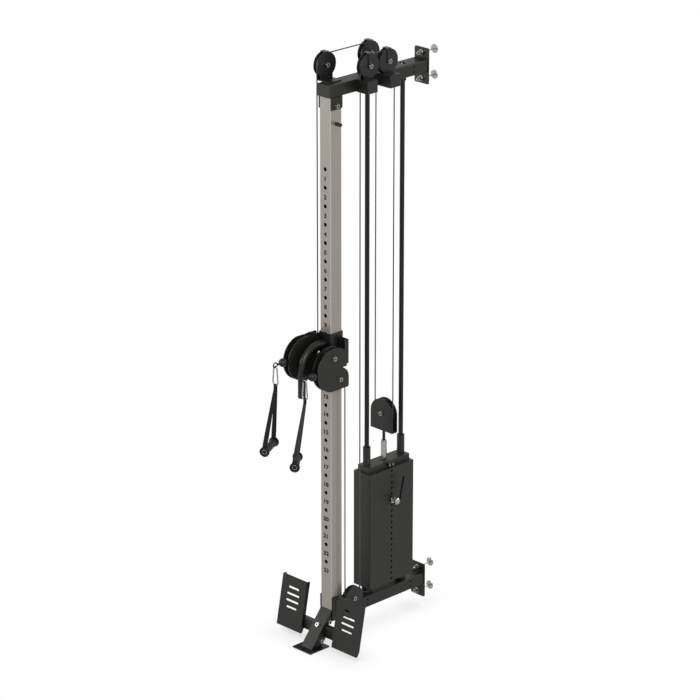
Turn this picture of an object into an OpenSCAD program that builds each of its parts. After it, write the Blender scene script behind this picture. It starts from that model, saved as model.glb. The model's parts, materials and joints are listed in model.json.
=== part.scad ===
// Wall-braced single-column cable machine with a height-set double pulley trolley.
// +X is the machine's right side, -Y faces the user, +Z is up, and the floor is Z = 0
// under the axis of the upright.

/* [Upright] */
// Side of the square upright tube
upright_w = 60; // [54:1:64]
// Wall of the upright tube
upright_wall = 3; // [2:0.5:4]
// Length of the upright tube
upright_len = 2145; // [2100:5:2200]
// Diameter of the height-setting holes
hole_d = 16.5; // [13:0.5:18]
// Distance from one height-setting hole to the next
hole_pitch = 75; // [70:1:76]
// Number of height-setting holes
hole_count = 23; // [20:1:23]
// Height of the highest hole below the top of the upright
hole_top_drop = 290; // [285:1:310]
// Diameter of the stop pin near the top of the upright
stop_pin_d = 14; // [10:1:16]
// Reach of the stop pin beyond the upright's side
stop_pin_reach = 27; // [20:1:32]

/* [Beams] */
// Width of the two beams
beam_w = 70; // [66:1:76]
// Height of the two beams
beam_h = 50; // [46:1:56]
// Wall of the two beams
beam_wall = 3; // [2:0.5:4]
// Height of the lower beam's underside above the floor
lower_beam_z = 95; // [92:1:105]
// Reach of the top beam in front of the upright's axis
beam_front = 38; // [34:1:44]
// Distance from the upright's axis back to the wall plates
beam_back = 497; // [480:1:520]
// Width of the stub boxes beside the top beam
stub_w = 62; // [56:1:66]
// Depth of the stub boxes beside the top beam
stub_d = 54; // [50:1:60]

/* [Wall plates] */
// Width of a wall plate
wall_plate_w = 75; // [70:1:90]
// Distance from an anchor to the near end of its wall plate
wall_plate_end = 20; // [18:1:28]
// Thickness of a wall plate
wall_plate_t = 6; // [4:0.5:8]
// Distance between the two anchors of a wall plate
anchor_pitch = 105; // [95:1:112]
// Diameter of the anchor holes
anchor_hole_d = 10.5; // [9:0.5:13]
// Reach of the anchors behind the wall plates
anchor_reach = 74; // [60:1:90]

/* [Weight stack] */
// Diameter of the two guide rods
rod_d = 19; // [16:0.5:20]
// Distance between the guide rods
rod_pitch = 194; // [190:1:200]
// Distance from the upright's axis back to the middle of the stack
stack_y = 296; // [292:1:302]
// Width of a weight plate, side to side
weight_w = 94; // [80:1:98]
// Depth of a weight plate, front to back
weight_d = 252; // [246:1:256]
// Height taken by one weight plate
weight_pitch = 25; // [22:0.5:26]
// Number of weight plates
weight_count = 20; // [12:1:20]
// Number of weight plates that the selector pin lifts
lifted_count = 6; // [1:1:10]
// Height of the rubber bumpers under the stack
bumper_h = 32; // [26:1:36]
// Diameter of the selector stem
stem_d = 22; // [18:0.5:24]
// Diameter of the selector pin
pin_d = 9; // [7:0.5:10]
// Width of the head plate on top of the stack
head_w = 64; // [56:1:70]
// Thickness of the head plate
head_t = 26; // [22:1:30]
// Length of the rod sleeves on the head plate
sleeve_len = 80; // [60:1:90]
// Width of the hexagon barrel above the head plate, over its corners
barrel_d = 25; // [20:1:30]
// Length of the hexagon barrel
barrel_len = 83; // [70:1:90]
// Diameter of the lift rod
lift_rod_d = 12; // [8:0.5:14]

/* [Pulleys and cable] */
// Diameter of the steel cable in its jacket
cable_d = 5; // [4:0.5:6]
// Radius at which the cable runs on the small pulleys
pulley_r = 41.6; // [40:0.1:43]
// Depth of the small pulleys' groove, from the cable's centre out to the rim
rim_rise = 5.4; // [4.5:0.1:5.6]
// Width of the small pulleys
pulley_w = 14; // [12:0.5:16]
// Radius at which the cable runs on the lifting pulley
lift_r = 50; // [48:0.5:52]
// Thickness of the pulley cheeks
cheek_t = 3.5; // [2.5:0.5:4]
// Diameter of the pulley axle bolts
axle_d = 10; // [8:0.5:12]
// Height of the front overhead pulleys' axles above the top beam
overhead_rise = 60; // [58:1:68]
// Height of the return pulleys' axles above the top beam
return_rise = 47.5; // [47:0.5:52]
// Distance of the rear cable run behind the upright's axis
return_y = 110; // [106:1:114]
// Distance of the front cable run in front of the upright's axis
front_y = 24; // [20:1:28]
// Height of the lifting pulley's axle above the head plate
lift_rise = 201; // [190:1:215]

/* [Trolley] */
// Number of the hole that the trolley stands at, counted from the top
trolley_hole = 12; // [6:1:18]
// Outer side of the trolley sleeve
sleeve_w = 68; // [67:0.5:70]
// Radius of the large trolley cheeks
trolley_r = 90; // [88:1:94]
// How far the right cheeks' disc stands in front of the middle of its pulleys
right_lead = 16; // [14:1:18]
// How far the left cheeks' disc stands in front of the middle of its pulleys
left_lead = 28; // [24:1:30]
// Distance of one trolley pulley below the other
pair_drop = 94; // [94:0.5:96]
// Distance of one trolley pulley in front of or behind the other
pair_shift = 31; // [30:0.5:33]
// Gap between the cheeks of the trolley
trolley_gap = 24; // [22:0.5:25]
// Diameter of the bent grab bar
grab_d = 31; // [26:1:34]

/* [Handles] */
// Diameter of the ball stop on a cable end
ball_d = 36; // [34:1:38]
// Distance from the ball stop to the eye of a cable end
eye_reach = 42; // [38:1:48]
// Length of a snap hook
hook_len = 85; // [75:1:95]
// Height of a handle's grip below the eye
grip_drop = 328; // [300:1:340]
// Length of a grip
grip_len = 118; // [115:1:135]
// Diameter of a grip
grip_d = 30; // [26:1:34]
// Diameter of a grip's end caps
grip_cap_d = 41; // [38:1:44]
// Width of the handle webbing
web_w = 20; // [16:1:26]

/* [Foot] */
// Side to side width of the foot strut
strut_w = 60; // [54:1:64]
// Depth of the foot strut, square to its face
strut_d = 45; // [42:1:50]
// Reach of the foot strut in front of the upright's face
strut_reach = 113; // [105:1:120]
// Wall of the foot strut
strut_t = 4; // [3:0.5:5]
// Width of the base plate
base_w = 104; // [96:1:120]
// Depth of the base plate
base_d = 107; // [100:1:115]
// Width of a footplate
footplate_w = 140; // [130:1:150]
// Height of a footplate along its slope
footplate_h = 218; // [210:1:226]
// Thickness of the footplates
footplate_t = 4; // [3:0.5:5]
// Gap between the two footplates
footplate_gap = 180; // [170:1:200]
// Side of the cross-bar under the footplates
crossbar_h = 49; // [45:1:52]

/* [Hidden] */
$fn = 48;
eps = 0.01;

// Clearances
fit_gap = 0.3;
shaft_gap = 0.1;
pulley_gap = 0.75;
weight_gap = 0.4;
rod_gap = 0.5;
seat_gap = 0.25;
hole_play = 0.4;

// Levels
lower_top = lower_beam_z + beam_h;
upright_top = lower_top + upright_len;
beam_top = upright_top + beam_h;
stack_base = lower_top + bumper_h;
stack_top = stack_base + weight_count * weight_pitch;
head_top = stack_top + head_t;
hole_top = upright_top - hole_top_drop;
stop_pin_z = upright_top - 108;
trolley_z = hole_top - (trolley_hole - 1) * hole_pitch;
split_z = stack_top - lifted_count * weight_pitch;
pin_z = split_z + weight_pitch / 2;

// Brackets
flange_t = 5;
bracket_bolt_drop = 36;
bracket_bolt_rise = 27;
bracket_span = upright_w + 2 * flange_t + 2 * seat_gap;

// Pulleys
cable_x = lift_r;
cable_r = cable_d / 2;
rim_r = pulley_r + rim_rise;
cheek_r = rim_r + 3;
block_gap = pulley_w + 2 * pulley_gap;
block_w = block_gap + 2 * cheek_t;
front_pulley_y = pulley_r - front_y;
rear_pulley_y = stack_y - pulley_r;
return_pulley_y = return_y + pulley_r;
bottom_pulley_y = return_y - pulley_r;
rise_y = bottom_pulley_y - pulley_r;
overhead_z = beam_top + overhead_rise;
return_z = beam_top + return_rise;
bottom_pulley_z = lower_top + 32;
lift_z = head_top + lift_rise;
lift_rim_r = lift_r + 6;
lift_cheek_r = lift_rim_r + 5.5;
lift_cheek_t = 4;
lift_gap = 21;
lift_foot = 73;
stub_inner = beam_w / 2;
stub_front_y = return_y - cable_d / 2 - fit_gap + stub_d / 2 - beam_wall;
stub_rear_y = rear_pulley_y;
bottom_stub_w = cable_x + block_w / 2 - stub_inner;

// Trolley
cheek_plate_t = 4;
sleeve_h = 221;
sleeve_z = trolley_z - 65;
sleeve_wall = 3;
liner_h = 40;
right_low = [rise_y - pulley_r, trolley_z - 27];
right_high = [right_low[0] - pair_shift, right_low[1] + pair_drop];
left_high = [-front_y - pulley_r, trolley_z + 106];
left_low = [left_high[0] - pair_shift, left_high[1] - pair_drop];
right_mid = (right_low + right_high) / 2;
left_mid = (left_low + left_high) / 2;
right_exit_z = right_low[1] + pulley_r;
left_exit_z = left_high[1] - pulley_r;
cheek_half = 88;
lobe_r = 48;
ball_set = sqrt(pow(ball_d / 2, 2) - pow(trolley_gap / 2, 2)) + fit_gap;
tab_w = 20;
tab_top = 112;
right_reach = right_lead + sqrt(pow(trolley_r, 2) - pow(right_exit_z - right_mid[1], 2));
left_reach = left_lead + sqrt(pow(trolley_r, 2) - pow(left_exit_z - left_mid[1], 2));
right_ball_y = right_mid[0] - right_reach - ball_set;
left_ball_y = left_mid[0] - left_reach - ball_set;
grab_bend = 85;
grab_z = trolley_z + 115;
grab_straight = 41;
grab_leg = 112;

// Handles
eye_r = 10;
thread_len = 28;
knob_r = 14;
eye_wire = 5;
hook_wire = 6;
hook_w = 34;
web_t = 3;
core_d = 11;
left_lean = 36;
right_lean = 49;
left_turn = 117.5;
right_turn = 130.5;

// Foot
strut_run = upright_w / 2 + strut_reach;
base_t = 5;
strut_slope = atan2(lower_top - base_t, strut_reach);
ear_y = -90;
ear_z = 28;
tongue_y = -43;
tongue_z = lower_beam_z + 2;
face_bolt_share = 0.425;
face_bolt_y = -upright_w / 2 - face_bolt_share * strut_reach;
face_bolt_z = lower_top - 1 - face_bolt_share * (lower_top - 1 - base_t - fit_gap);
crossbar_d = 25;
crossbar_y = -69;
crossbar_z = 37;
foot_tilt = 10.6;
footplate_y = -90;
footplate_z = 21;
flange_d = 17;

// Draws a side view, given as Y and Z, and thickens it along +X
module side_view(t) {
    rotate([90, 0, 90]) linear_extrude(t) children();
}

// Round bar along X, centred on its middle
module bar_x(d, l) {
    rotate([0, 90, 0]) cylinder(d = d, h = l, center = true);
}

// Round bar along Y, from the origin towards +Y
module bar_y(d, l) {
    rotate([-90, 0, 0]) cylinder(d = d, h = l);
}

// Rectangle with round corners, centred
module round_rect(w, h, r) {
    square([w - 2 * r, h], center = true);
    square([w, h - 2 * r], center = true);
    for (x = [-1, 1], y = [-1, 1]) {
        translate([x * (w / 2 - r), y * (h / 2 - r)]) circle(r);
    }
}

// Section of a rectangular tube
module tube_section(w, h, wall, r) {
    difference() {
        round_rect(w, h, r);
        round_rect(w - 2 * wall, h - 2 * wall, max(r - wall, 0.8));
    }
}

// Cable bent round an axle along X, from angle a0 through da, measured from +Y
module cable_bend(r, a0, da) {
    rotate([90, 0, 90]) rotate([0, 0, a0]) rotate_extrude(angle = da, $fn = 96) {
        translate([r, 0]) circle(cable_r, $fn = 24);
    }
}

// Grooved wheel with its axle along X
module pulley(r, rim, w) {
    groove = cable_r + fit_gap;
    bore = axle_d / 2 + shaft_gap;
    hub = 17;
    rotate([0, 90, 0]) rotate_extrude($fn = 96) difference() {
        union() {
            translate([bore, -w / 2]) square([hub - bore, w]);
            translate([hub - eps, -w / 4]) square([r - groove - 5 - hub, w / 2]);
            translate([r - groove - 6, -w / 2]) square([rim - r + groove + 6, w]);
        }
        translate([r, 0]) circle(groove, $fn = 24);
        polygon([[r, -groove], [rim + 1, -w / 2 + 1], [rim + 1, w / 2 - 1], [r, groove]]);
    }
}

// Washer and cap head of a bolt of diameter d on z = 0, with a hexagon socket in its top
module cap_head(d) {
    washer = 1.5;
    head_h = 0.6 * d;
    cylinder(d = 2 * d, h = washer);
    translate([0, 0, washer]) difference() {
        cylinder(d = 1.7 * d, h = head_h);
        translate([0, 0, 0.3 * head_h]) cylinder(d = 1.1 * d, h = head_h, $fn = 6);
    }
}

// Bolt with a cap head at both ends on an axle along X, clamping a width w
module cross_bolt(d, w) {
    bar_x(d, w + 2 * seat_gap);
    for (s = [-1, 1]) translate([s * (w / 2 + seat_gap), 0, 0]) rotate([0, s * 90, 0]) cap_head(d);
}

module upright() {
    color("#a09a92") difference() {
        translate([0, 0, lower_top]) linear_extrude(upright_len) {
            tube_section(upright_w, upright_w, upright_wall, 3.5);
        }
        for (k = [0 : hole_count - 1]) {
            translate([0, -upright_w / 2 - 1, hole_top - k * hole_pitch]) {
                bar_y(hole_d, upright_wall + 2);
            }
        }
        translate([0, 0, upright_top - bracket_bolt_drop]) bar_x(axle_d + hole_play, upright_w + 2);
        translate([0, 0, lower_top + bracket_bolt_rise]) bar_x(axle_d + hole_play, upright_w + 2);
        translate([0, 0, stop_pin_z]) bar_x(stop_pin_d + 2 * shaft_gap, upright_w + 2);
    }
}

module upright_stop_pin() {
    head = 3;
    color("#222222") translate([0, 0, stop_pin_z]) {
        translate([(stop_pin_reach - head) / 2, 0, 0]) {
            bar_x(stop_pin_d, upright_w + stop_pin_reach + head);
        }
        translate([-upright_w / 2 - seat_gap - head / 2, 0, 0]) bar_x(stop_pin_d + 6, head);
    }
}

// Box of square tube beside a beam, with a slot in its top and bottom
module stub_box(w, d, slot_w) {
    difference() {
        translate([stub_inner - eps, -d / 2, 0]) cube([w + eps, d, beam_h]);
        translate([stub_inner - 1, -d / 2 + beam_wall, beam_wall]) {
            cube([w + 1 - beam_wall, d - 2 * beam_wall, beam_h - 2 * beam_wall]);
        }
        translate([cable_x - slot_w / 2, -d / 2 + beam_wall, -1]) {
            cube([slot_w, d - 2 * beam_wall, beam_h + 2]);
        }
    }
}

// Rectangular beam along Y with closed front
module beam_tube(y0, y1, z0) {
    translate([0, y1, z0 + beam_h / 2]) rotate([90, 0, 0]) linear_extrude(y1 - y0) {
        tube_section(beam_w, beam_h, beam_wall, 4);
    }
    translate([0, y0 + beam_wall, z0 + beam_h / 2]) rotate([90, 0, 0]) {
        linear_extrude(beam_wall) round_rect(beam_w - 2 * beam_wall, beam_h - 2 * beam_wall, 1);
    }
}

module side_holes(y, z0) {
    for (s = [-1, 1]) {
        translate([0, y, z0 + beam_h / 2 + s * 10]) bar_x(8, beam_w + 2);
    }
}

module rod_holes(d) {
    for (s = [-1, 1]) {
        translate([0, stack_y + s * rod_pitch / 2, 0]) cylinder(d = d, h = 40, center = true);
    }
}

module top_beam() {
    color("#3a3a37") union() {
        difference() {
            beam_tube(-beam_front, beam_back, upright_top);
            side_holes(beam_back - 76, upright_top);
            translate([0, 0, upright_top]) rod_holes(12);
            translate([0, 0, beam_top]) rod_holes(26);
        }
        translate([0, stub_front_y, upright_top]) stub_box(stub_w, stub_d, block_gap);
        translate([0, stub_rear_y, upright_top]) stub_box(stub_w, stub_d, block_gap);
    }
}

// Pair of flanges beside the upright, with one rounded rear corner and a bolt hole
module bracket_flanges(z0, z1, hangs) {
    corner = 10;
    corner_z = hangs ? z0 + corner : z1 - corner;
    bolt_z = hangs ? upright_top - bracket_bolt_drop : lower_top + bracket_bolt_rise;
    for (s = [-1, 1]) {
        translate([s * (upright_w / 2 + seat_gap + flange_t / 2) - flange_t / 2, 0, 0]) {
            side_view(flange_t) difference() {
                union() {
                    translate([-upright_w / 2, z0]) square([upright_w - corner, z1 - z0]);
                    translate([-upright_w / 2, hangs ? z0 + corner : z0]) {
                        square([upright_w, z1 - z0 - corner]);
                    }
                    translate([upright_w / 2 - corner, corner_z]) circle(corner);
                }
                translate([0, bolt_z]) circle(d = axle_d + hole_play);
            }
        }
    }
}

module upright_brackets() {
    color("#3a3a37") {
        bracket_flanges(upright_top - 50, upright_top - fit_gap, true);
        bracket_flanges(lower_top + fit_gap, lower_top + 54, false);
    }
}

function wall_plate_mid(top) = top ? upright_top + 22 : lower_beam_z + 15;

module wall_plates() {
    color("#3a3a37") for (top = [true, false]) {
        translate([0, beam_back + wall_plate_t, wall_plate_mid(top)]) rotate([90, 0, 0]) {
            linear_extrude(wall_plate_t) difference() {
                round_rect(wall_plate_w, anchor_pitch + 2 * wall_plate_end, 6);
                for (s = [-1, 1]) {
                    translate([0, s * anchor_pitch / 2]) circle(d = anchor_hole_d);
                }
            }
        }
    }
}

// Anchor: hexagon head and washer in front, thin rod through the wall, washer and nut behind
module anchor() {
    washer = 3;
    translate([0, beam_back - 26, 0]) bar_y(8, 26 + wall_plate_t);
    translate([0, beam_back - washer - seat_gap, 0]) bar_y(24, washer);
    translate([0, beam_back - 12 - washer - seat_gap, 0]) {
        rotate([-90, 0, 0]) cylinder(d = 19, h = 12, $fn = 6);
    }
    translate([0, beam_back + wall_plate_t - eps, 0]) bar_y(6, anchor_reach);
    translate([0, beam_back + wall_plate_t + anchor_reach - 8, 0]) bar_y(36, washer);
    translate([0, beam_back + wall_plate_t + anchor_reach - 5 - eps, 0]) {
        rotate([-90, 0, 0]) cylinder(d = 15, h = 8, $fn = 6);
    }
}

module wall_anchors() {
    color("silver") for (top = [true, false], s = [-1, 1]) {
        translate([0, 0, wall_plate_mid(top) + s * anchor_pitch / 2]) anchor();
    }
}

module lower_beam() {
    color("#3a3a37") union() {
        difference() {
            beam_tube(-upright_w / 2, beam_back, lower_beam_z);
            side_holes(beam_back - 76, lower_beam_z);
            side_holes(bottom_pulley_y + 102, lower_beam_z);
            translate([0, 0, lower_top]) rod_holes(12);
        }
        difference() {
            translate([-19, tongue_y - 10, tongue_z - 10]) {
                cube([38, -upright_w / 2 - tongue_y + 10 + eps, 20]);
            }
            translate([0, tongue_y, tongue_z]) bar_x(axle_d + hole_play, 60);
        }
        translate([0, bottom_pulley_y, lower_beam_z]) {
            difference() {
                translate([stub_inner - eps, -stub_d / 2, 0]) cube([bottom_stub_w + eps, stub_d, beam_h]);
                translate([cable_x - block_gap / 2, -stub_d / 2 - 1, beam_wall]) {
                    cube([block_gap, stub_d + 2, beam_h]);
                }
            }
        }
    }
}

// Side of the foot strut, sloping from the upright's foot down to the base plate
module strut_side() {
    back = strut_d / sin(strut_slope);
    polygon([
        [-upright_w / 2, lower_top - 1],
        [-strut_run, base_t + fit_gap],
        [-strut_run + back, base_t + fit_gap],
        [-upright_w / 2 - fit_gap, base_t + fit_gap + (strut_run - back - upright_w / 2) * tan(strut_slope)]
    ]);
}

module foot_strut() {
    color("#3c3e3f") difference() {
        translate([-strut_w / 2, 0, 0]) side_view(strut_w) strut_side();
        translate([-strut_w / 2 + strut_t, 0, 0]) side_view(strut_w - 2 * strut_t) {
            translate([strut_t / sin(strut_slope), -strut_t / 2]) strut_side();
        }
        translate([-strut_w, crossbar_y - fit_gap, crossbar_z - fit_gap]) {
            cube([2 * strut_w, 60, crossbar_h + 2 * fit_gap]);
        }
        translate([0, ear_y, ear_z]) bar_x(axle_d + hole_play, strut_w + 2);
        translate([0, tongue_y, tongue_z]) bar_x(axle_d + hole_play, strut_w + 2);
        translate([0, face_bolt_y, face_bolt_z]) rotate([strut_slope, 0, 0]) {
            cylinder(d = axle_d + hole_play, h = 20, center = true);
        }
    }
}

module foot_base() {
    ear_r = 10;
    color("#333333") union() {
        translate([-base_w / 2, -63 - base_d, 0]) cube([base_w, base_d, base_t]);
        for (s = [-1, 1]) {
            translate([s * (strut_w / 2 - strut_t - fit_gap - 2) - 2, 0, 0]) side_view(4) {
                difference() {
                    union() {
                        translate([ear_y - ear_r, 0]) square([2 * ear_r, ear_z]);
                        translate([ear_y, ear_z]) circle(ear_r);
                    }
                    translate([ear_y, ear_z]) circle(d = axle_d + hole_play);
                }
            }
        }
    }
}

// Rectangular bar along X that joins the two footplates
module crossbar() {
    half = footplate_gap / 2 + footplate_w - 30;
    color("#3a3a37") translate([-half, crossbar_y + crossbar_d / 2, crossbar_z + crossbar_h / 2]) {
        rotate([90, 0, 90]) linear_extrude(2 * half) tube_section(crossbar_d, crossbar_h, 2.5, 3);
    }
}

// Y of a footplate's rear face at height z
function plate_back(z) = footplate_y + (z - footplate_z) * tan(foot_tilt) + footplate_t / cos(foot_tilt);

// Right footplate: leaning plate with plain slots, bent side flanges and a seat on the cross-bar
module footplate() {
    corner = 22;
    slot_pitch = 28;
    seat_lo = crossbar_z + 5;
    seat_hi = crossbar_z + crossbar_h - 5;
    seat_y = crossbar_y - fit_gap;
    difference() {
        translate([footplate_gap / 2, footplate_y, footplate_z]) rotate([-foot_tilt, 0, 0]) union() {
            rotate([90, 0, 0]) translate([0, 0, -footplate_t]) linear_extrude(footplate_t) {
                difference() {
                    square([footplate_w, footplate_h]);
                    for (k = [0 : 3]) {
                        translate([footplate_w / 2, 0.4 * footplate_h + k * slot_pitch]) {
                            round_rect(78 - 12 * abs(k - 1.5), 9, 4.4);
                        }
                    }
                }
            }
            for (x = [0, footplate_w - footplate_t]) {
                translate([x, 0, 0]) side_view(footplate_t) {
                    polygon([
                        [0, 0],
                        [flange_d - 8, 0],
                        [flange_d, corner],
                        [flange_d, footplate_h],
                        [0, footplate_h]
                    ]);
                }
            }
        }
        translate([0, crossbar_y - fit_gap, crossbar_z - fit_gap]) {
            cube([footplate_gap / 2 + 20, crossbar_d + 2 * fit_gap, crossbar_h + 2 * fit_gap]);
        }
    }
    translate([footplate_gap / 2 + 20, 0, 0]) side_view(footplate_w - 60) {
        polygon([
            [seat_y, seat_lo],
            [seat_y, seat_hi],
            [plate_back(seat_hi) - eps, seat_hi],
            [plate_back(seat_lo) - eps, seat_lo]
        ]);
    }
}

module footplate_left() {
    color("#3a3a37") mirror([1, 0, 0]) footplate();
}

module footplate_right() {
    color("#3a3a37") footplate();
}

module guide_rods() {
    color("#262626") for (s = [-1, 1]) {
        translate([0, stack_y + s * rod_pitch / 2, lower_top + seat_gap]) {
            cylinder(d = rod_d, h = upright_len - 2 * seat_gap);
        }
    }
}

module rod_collars() {
    collar_h = 18;
    color("#333333") for (s = [-1, 1]) {
        translate([0, stack_y + s * rod_pitch / 2, upright_top - collar_h - seat_gap]) difference() {
            cylinder(d = rod_d + 9, h = collar_h);
            translate([0, 0, -1]) cylinder(d = rod_d + 2 * shaft_gap, h = collar_h + 2);
        }
    }
}

module rod_bumpers() {
    color("#1c1c1c") for (s = [-1, 1]) {
        translate([0, stack_y + s * rod_pitch / 2, lower_top + seat_gap]) rotate_extrude() {
            translate([rod_d / 2 + shaft_gap, 0]) {
                polygon([
                    [0, 0], [13, 0], [13, 6], [11, 9],
                    [11, bumper_h - 6], [9, bumper_h - 0.6], [0, bumper_h - 0.6]
                ]);
            }
        }
    }
}

// Two cheeks with their keeper, for a small pulley at the origin, with legs down to a seat
module pulley_block(leg, leg_w, leg_shift) {
    for (s = [0, 1]) {
        translate([-block_w / 2 + s * (block_gap + cheek_t), 0, 0]) side_view(cheek_t) difference() {
            union() {
                intersection() {
                    circle(cheek_r, $fn = 96);
                    translate([-cheek_r, -leg]) square([2 * cheek_r, leg + cheek_r]);
                }
                translate([leg_shift - leg_w / 2, -leg]) square([leg_w, leg]);
            }
            circle(d = axle_d + hole_play);
        }
    }
}

module overhead_blocks() {
    foot_w = 64;
    foot_t = 4;
    color("#2c2c2c") {
        for (y = [front_pulley_y, rear_pulley_y]) {
            translate([-cable_x, y, overhead_z]) union() {
                pulley_block(overhead_rise - fit_gap, foot_w, 0);
                translate([-block_w / 2, -foot_w / 2, -overhead_rise + fit_gap]) {
                    cube([block_w + 48, foot_w, foot_t]);
                }
            }
        }
        translate([cable_x, return_pulley_y, return_z]) {
            pulley_block(return_rise - fit_gap, stub_d - 16, stub_front_y + 8 - return_pulley_y);
        }
        translate([cable_x, rear_pulley_y, return_z]) {
            pulley_block(return_rise - fit_gap, stub_d - 2, 0);
        }
    }
}

module bottom_block() {
    color("#2c2c2c") translate([cable_x, bottom_pulley_y, bottom_pulley_z]) {
        pulley_block(bottom_pulley_z - lower_top - fit_gap, stub_d - 2, 0);
    }
}

// Strap over the top of a pulley block, from axle to axle
module keeper(outer) {
    strap_w = 20;
    strap_t = 2.5;
    half = block_w / 2 + fit_gap;
    translate([-half - strap_t, -strap_w / 2, cheek_r + fit_gap]) {
        cube([2 * (half + strap_t), strap_w, strap_t]);
    }
    for (s = outer ? [-1, 1] : [-1]) {
        translate([s * (half + strap_t / 2) - strap_t / 2, 0, 0]) side_view(strap_t) difference() {
            union() {
                translate([-strap_w / 2, 0]) square([strap_w, cheek_r + fit_gap + strap_t]);
                circle(d = strap_w);
            }
            circle(d = axle_d + hole_play);
        }
    }
}

module keeper_straps() {
    color("#333333") {
        for (y = [front_pulley_y, rear_pulley_y]) {
            translate([-cable_x, y, overhead_z]) keeper(false);
        }
        for (y = [return_pulley_y, rear_pulley_y]) {
            translate([cable_x, y, return_z]) keeper(true);
        }
    }
}

module frame_bolts() {
    block_grip = block_w + 6;
    color("silver") {
        translate([0, 0, upright_top - bracket_bolt_drop]) cross_bolt(axle_d, bracket_span);
        translate([0, 0, lower_top + bracket_bolt_rise]) cross_bolt(axle_d, bracket_span);
        translate([0, ear_y, ear_z]) cross_bolt(axle_d, strut_w);
        translate([0, tongue_y, tongue_z]) cross_bolt(axle_d, strut_w);
        for (y = [front_pulley_y, rear_pulley_y]) {
            translate([-cable_x, y, overhead_z]) cross_bolt(axle_d, block_grip);
        }
        for (y = [return_pulley_y, rear_pulley_y]) {
            translate([cable_x, y, return_z]) cross_bolt(axle_d, block_grip);
        }
        translate([cable_x, bottom_pulley_y, bottom_pulley_z]) cross_bolt(axle_d, block_w);
        for (s = [-1, 1]) {
            translate([0, stack_y + s * rod_pitch / 2, upright_top + beam_wall + seat_gap]) {
                cylinder(d = 20, h = 2);
                translate([0, 0, 2]) cylinder(d = 15, h = 7, $fn = 6);
            }
        }
        translate([0, face_bolt_y, face_bolt_z]) rotate([strut_slope, 0, 0]) {
            translate([0, 0, seat_gap]) cap_head(axle_d);
            translate([0, 0, -6]) cylinder(d = axle_d, h = 8);
        }
    }
}

// One weight plate with its bores for the rods, the stem and the pin
module weight_plate() {
    h = weight_pitch - weight_gap;
    r = 4;
    difference() {
        linear_extrude(h) difference() {
            round_rect(weight_w, weight_d, r);
            for (s = [-1, 1]) {
                translate([0, s * rod_pitch / 2]) circle(d = rod_d + 2 * rod_gap);
            }
            circle(d = stem_d + 2 * rod_gap);
        }
        translate([0, 0, h / 2]) rotate([0, 90, 0]) cylinder(d = pin_d + 1, h = weight_w);
    }
}

module plates_resting() {
    color("#33332f") for (k = [0 : weight_count - lifted_count - 1]) {
        translate([0, stack_y, stack_base + k * weight_pitch]) weight_plate();
    }
}

module plates_lifted() {
    color("#33332f") for (k = [weight_count - lifted_count : weight_count - 1]) {
        translate([0, stack_y, stack_base + k * weight_pitch]) weight_plate();
    }
}

module head_plate() {
    head_d = rod_pitch + 40;
    sleeve_d = rod_d + 12;
    color("#33332f") translate([0, stack_y, stack_top]) difference() {
        union() {
            linear_extrude(head_t) round_rect(head_w, head_d, 3);
            for (s = [-1, 1]) {
                translate([0, s * rod_pitch / 2, head_t - eps]) cylinder(d = sleeve_d, h = sleeve_len);
            }
            translate([head_w / 2 - eps, -16, head_t - 16]) cube([10, 32, 14]);
        }
        for (s = [-1, 1]) {
            translate([0, s * rod_pitch / 2, -1]) {
                cylinder(d = rod_d + 2 * rod_gap, h = head_t + sleeve_len + 2);
            }
        }
    }
}

module selector_stem() {
    color("#8c8c8c") difference() {
        translate([0, stack_y, stack_base]) cylinder(d = stem_d, h = stack_top - stack_base - seat_gap);
        for (k = [0 : weight_count - 1]) {
            translate([0, stack_y, stack_base + (k + 0.5) * weight_pitch - weight_gap / 2]) {
                bar_x(pin_d + 1, stem_d + 2);
            }
        }
    }
}

module turnbuckle() {
    neck = 5;
    color("silver") translate([0, stack_y, head_top + seat_gap]) difference() {
        union() {
            cylinder(d = 0.8 * barrel_d, h = barrel_len);
            translate([0, 0, neck]) cylinder(d = barrel_d, h = barrel_len - 2 * neck, $fn = 6);
        }
        translate([0, 0, barrel_len - thread_len]) {
            cylinder(d = lift_rod_d + 2 * shaft_gap, h = thread_len + 1);
        }
    }
}

module lift_rod() {
    rod_low = head_top + barrel_len - thread_len + 2 * seat_gap;
    color("#262626") translate([0, stack_y, rod_low]) {
        cylinder(d = lift_rod_d, h = lift_z - lift_foot - rod_low - seat_gap);
    }
}

module lift_block() {
    color("#333330") translate([0, stack_y, lift_z]) {
        for (s = [0, 1]) {
            translate([0, -(lift_gap / 2) + s * (lift_gap + lift_cheek_t), 0]) rotate([90, 0, 0]) {
                linear_extrude(lift_cheek_t) difference() {
                    union() {
                        circle(lift_cheek_r, $fn = 96);
                        translate([-lift_cheek_r, -lift_foot]) square([2 * lift_cheek_r, lift_foot]);
                    }
                    circle(d = axle_d + hole_play);
                }
            }
        }
        translate([-lift_cheek_r, -lift_gap / 2 - eps, -lift_foot]) {
            cube([2 * lift_cheek_r, lift_gap + 2 * eps, 5]);
        }
    }
}

module lift_axle() {
    color("silver") translate([0, stack_y, lift_z]) rotate([0, 0, 90]) {
        cross_bolt(axle_d, lift_gap + 2 * lift_cheek_t);
    }
}

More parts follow.
